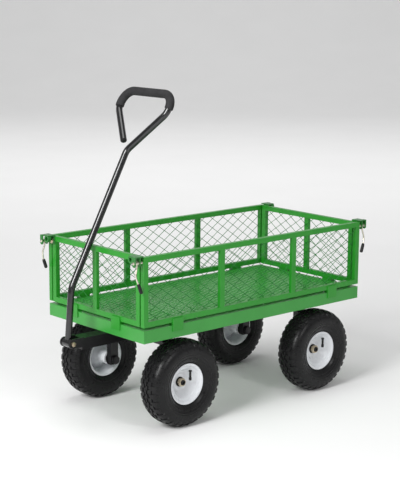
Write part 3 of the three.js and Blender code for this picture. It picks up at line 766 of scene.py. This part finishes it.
def up(s, y):
    return BEND + L * s + np.array((0, y, 0))


HANDLE = rounded_path([FOOT + np.array((0, 0, 9.5)), BEND, up(426.8, 0), up(610.2, -157), up(610.2, 157), up(456, 31)],
                      [70, 30, 42, 42], [16, 16, 40, 40])
HANDLE, total = resample(HANDLE, 3.0)
b = Build()
b.sweep(HANDLE, 9.75, 32)
sl = 22.5 - 5 - 0.3
b.lathe([(5.4, -sl), (11.7, -sl), (12.4, -sl + 0.7), (12.4, sl - 0.7), (11.7, sl), (5.4, sl)], FOOT, (0, 1, 0), 48)
b.make("handle tube", GLOSS, "handle", ("handle_tube",), "gloss_black")

# foam sleeve
ys = np.array([p[1] for p in HANDLE])
i0, i1 = int(ys.argmin()), int(ys.argmax())
i0, i1 = max(0, i0 - 1), min(len(HANDLE) - 1, i1 + 3)
seg, glen = resample(HANDLE[i0:i1 + 1], 2.0)
gr = []
for k in range(len(seg)):
    dd = min(k, len(seg) - 1 - k) * 2.0
    gr.append(12.6 - 1.2 * max(0.0, 1 - dd / 3.0) ** 2)
b = Build()
b.sweep(seg, 12.6, 40, caps=True, radii=gr)
b.make("foam grip", FOAM, "handle", ("handle_grip",), "foam")

# plug in the free end
d = HANDLE[-1] - HANDLE[-2]
d /= np.linalg.norm(d)
b = Build()
b.lathe([(0, 0.3), (9.0, 0.3), (9.35, 0.7), (9.35, 1.4), (8.8, 2.8), (7.0, 4.3), (4.0, 5.2), (0, 5.5)], HANDLE[-1], d, 40)
b.make("handle end plug", VINYL, "handle", ("handle_end_plug",), "vinyl")

# pivot bolt: hex head on the near ear
eo = 22.5 + 0.3
b = Build()
b.lathe([(0, -eo - 2), (4.9, -eo - 2), (4.9, eo + 9.6), (4.2, eo + 10.8), (0, eo + 10.8)], (-535.6, 0, PIVOT_Z), (0, 1, 0), 32)
b.hex(13, -eo, -eo - 5, (-535.6, 0, PIVOT_Z), (0, 1, 0), 0.26)
b.make("handle pivot bolt", ZINC, "steering", ("handle_pivot_bolt",), "zinc")

# ------------------------------------------------------------------ latch pins


def P(p):
    return -HX - p


def Q(q):
    return -HY + q


PIN_Q, PIN_Z = 6.5, 504.6
WPATH = rounded_path([(P(20), Q(PIN_Q), PIN_Z), (P(20), Q(PIN_Q), 490), (P(26.5), Q(4), 468), (P(20), Q(0), 448)], [30, 30], [10, 10])
for c in CORNERS:
    fx = 1 if c.startswith("front") else -1
    fy = 1 if c.endswith("near") else -1
    b = Build()
    b.lathe([(0, 0.4), (3.4, 0.4), (4.3, 1.6), (4.4, 2.5), (4.4, 31.6), (4.0, 32.8), (3.0, 33.4), (0, 33.45)], (-HX, Q(PIN_Q), PIN_Z), (-1, 0, 0), 32)
    b.sweep(WPATH, 2.35, 20)
    b.make(f"{c} latch pin", WIRE, f"{c}_pin", (f"{c}_latch_pin",), "zinc", fx=fx, fy=fy)
    a = WPATH[-1]
    e = np.array((P(9.5), Q(-1), 419.5))
    dd = e - a
    ln = float(np.linalg.norm(dd))
    b = Build()
    b.lathe([(0, 0.7), (3.0, 0.7), (3.8, 1.3), (4.4, 3), (5.05, 8), (5.1, ln - 5), (4.7, ln - 2.2), (3.6, ln - 0.6), (0, ln - 0.1)], a, dd, 28)
    b.make(f"{c} latch tip", VINYL, f"{c}_pin", (f"{c}_latch_tip",), "vinyl", fx=fx, fy=fy)
    # rivet head, bright against the bracket
    b = Build()
    b.lathe([(0, 1.5), (7.75, 1.5), (7.8, 2.2), (7.8, 4.1), (7.3, 5.0), (5.6, 6.25), (3.0, 6.75), (0, 6.9)], (-HX, Q(19), 503.8), (-1, 0, 0), 32)
    b.make(f"{c} latch rivet", ZINC, ("front" if fx > 0 else "rear") + "_panel", slot="zinc", fx=fx, fy=fy)

# ---------------------------------------------------------------- floor, light
b = Build()
fl = []
prof = [(-60000, -0.0), (9000, 0.0)]
R = 6000
for k in range(1, 17):
    t = math.pi / 2 * k / 16
    prof.append((9000 + R * math.sin(t), R - R * math.cos(t)))
prof.append((9000 + R, 40000))
a0 = math.radians(-41.863)
fwd = np.array((-math.sin(a0), math.cos(a0)))
rgt = np.array((math.cos(a0), math.sin(a0)))
verts, faces = [], []
for dist, z in prof:
    for w in (-60000, 60000):
        q = fwd * dist + rgt * w
        verts.append((q[0] / 1000, q[1] / 1000, z / 1000 - 0.0003))
for i in range(len(prof) - 1):
    faces.append((2 * i, 2 * i + 1, 2 * i + 3, 2 * i + 2))
me = bpy.data.meshes.new("studio floor")
me.from_pydata(verts, [], faces)
me.update()
for p in me.polygons:
    p.use_smooth = True
fm = Mat("studio paper", (0.86, 0.86, 0.86), 0.9)
fm.link(fm.ramp(fm.noise(2.0, 2), [(0.3, (0.915, 0.915, 0.915)), (0.7, (0.93, 0.93, 0.93))]), fm.p.inputs["Base Color"])
me.materials.append(fm.m)
floor = bpy.data.objects.new("studio floor", me)
bpy.context.scene.collection.objects.link(floor)


def area(name, loc, target, size, power, size_y=None):
    l = bpy.data.lights.new(name, "AREA")
    l.shape = "RECTANGLE"
    l.size, l.size_y = size, size_y or size
    l.energy = power
    o = bpy.data.objects.new(name, l)
    bpy.context.scene.collection.objects.link(o)
    o.location = loc
    o.rotation_mode = "QUATERNION"
    o.rotation_quaternion = (Vector(target) - Vector(loc)).to_track_quat("-Z", "Y")
    return o


area("key", (-3.6, -0.7, 2.5), (0, 0, 0.4), 1.6, 136)
area("side", (-0.6, -4.6, 3.0), (0, 0, 0.35), 1.2, 52)
area("top", (-0.2, 0.2, 4.0), (0, 0, 0.3), 2.2, 44)
area("strip", (-2.6, -2.9, 1.6), (-0.3, 0, 0.6), 0.12, 8, 2.2)
bx_, by_ = fwd * 3.6
tx_, ty_ = fwd * 10.5
area("backdrop", (bx_, by_, 5.5), (tx_, ty_, 1.6), 9.0, 330, 3.5)
world = bpy.data.worlds.new("studio")
bpy.context.scene.world = world
world.use_nodes = True
bg = world.node_tree.nodes["Background"]
bg.inputs[0].default_value = (1, 1, 1, 1)
bg.inputs[1].default_value = 0.33

# --------------------------------------------------------------------- camera
az, el, dist, f, roll = math.radians(-41.863), math.radians(11.260), 4.17363, 1349.557, 0.00767
target = Vector((-0.00331 + SH, 0.03654, 0.44522))
bk = Vector((math.sin(az) * math.cos(el), -math.cos(az) * math.cos(el), math.sin(el)))
r = Vector((math.cos(az), math.sin(az), 0))
u = bk.cross(r)
r2 = math.cos(roll) * r + math.sin(roll) * u
u2 = -math.sin(roll) * r + math.cos(roll) * u
camd = bpy.data.cameras.new("camera")
cam = bpy.data.objects.new("camera", camd)
bpy.context.scene.collection.objects.link(cam)
camd.sensor_fit = "HORIZONTAL"
camd.sensor_width = 36
camd.lens = f / 400 * 36
camd.clip_start, camd.clip_end = 0.05, 200
m = Matrix.Identity(4)
for i, v in enumerate((r2, u2, bk)):
    for k in range(3):
        m[k][i] = v[k]
loc = target + bk * dist
m[0][3], m[1][3], m[2][3] = loc
cam.matrix_world = m
bpy.context.scene.camera = cam
bpy.context.scene.view_settings.view_transform = "Standard"
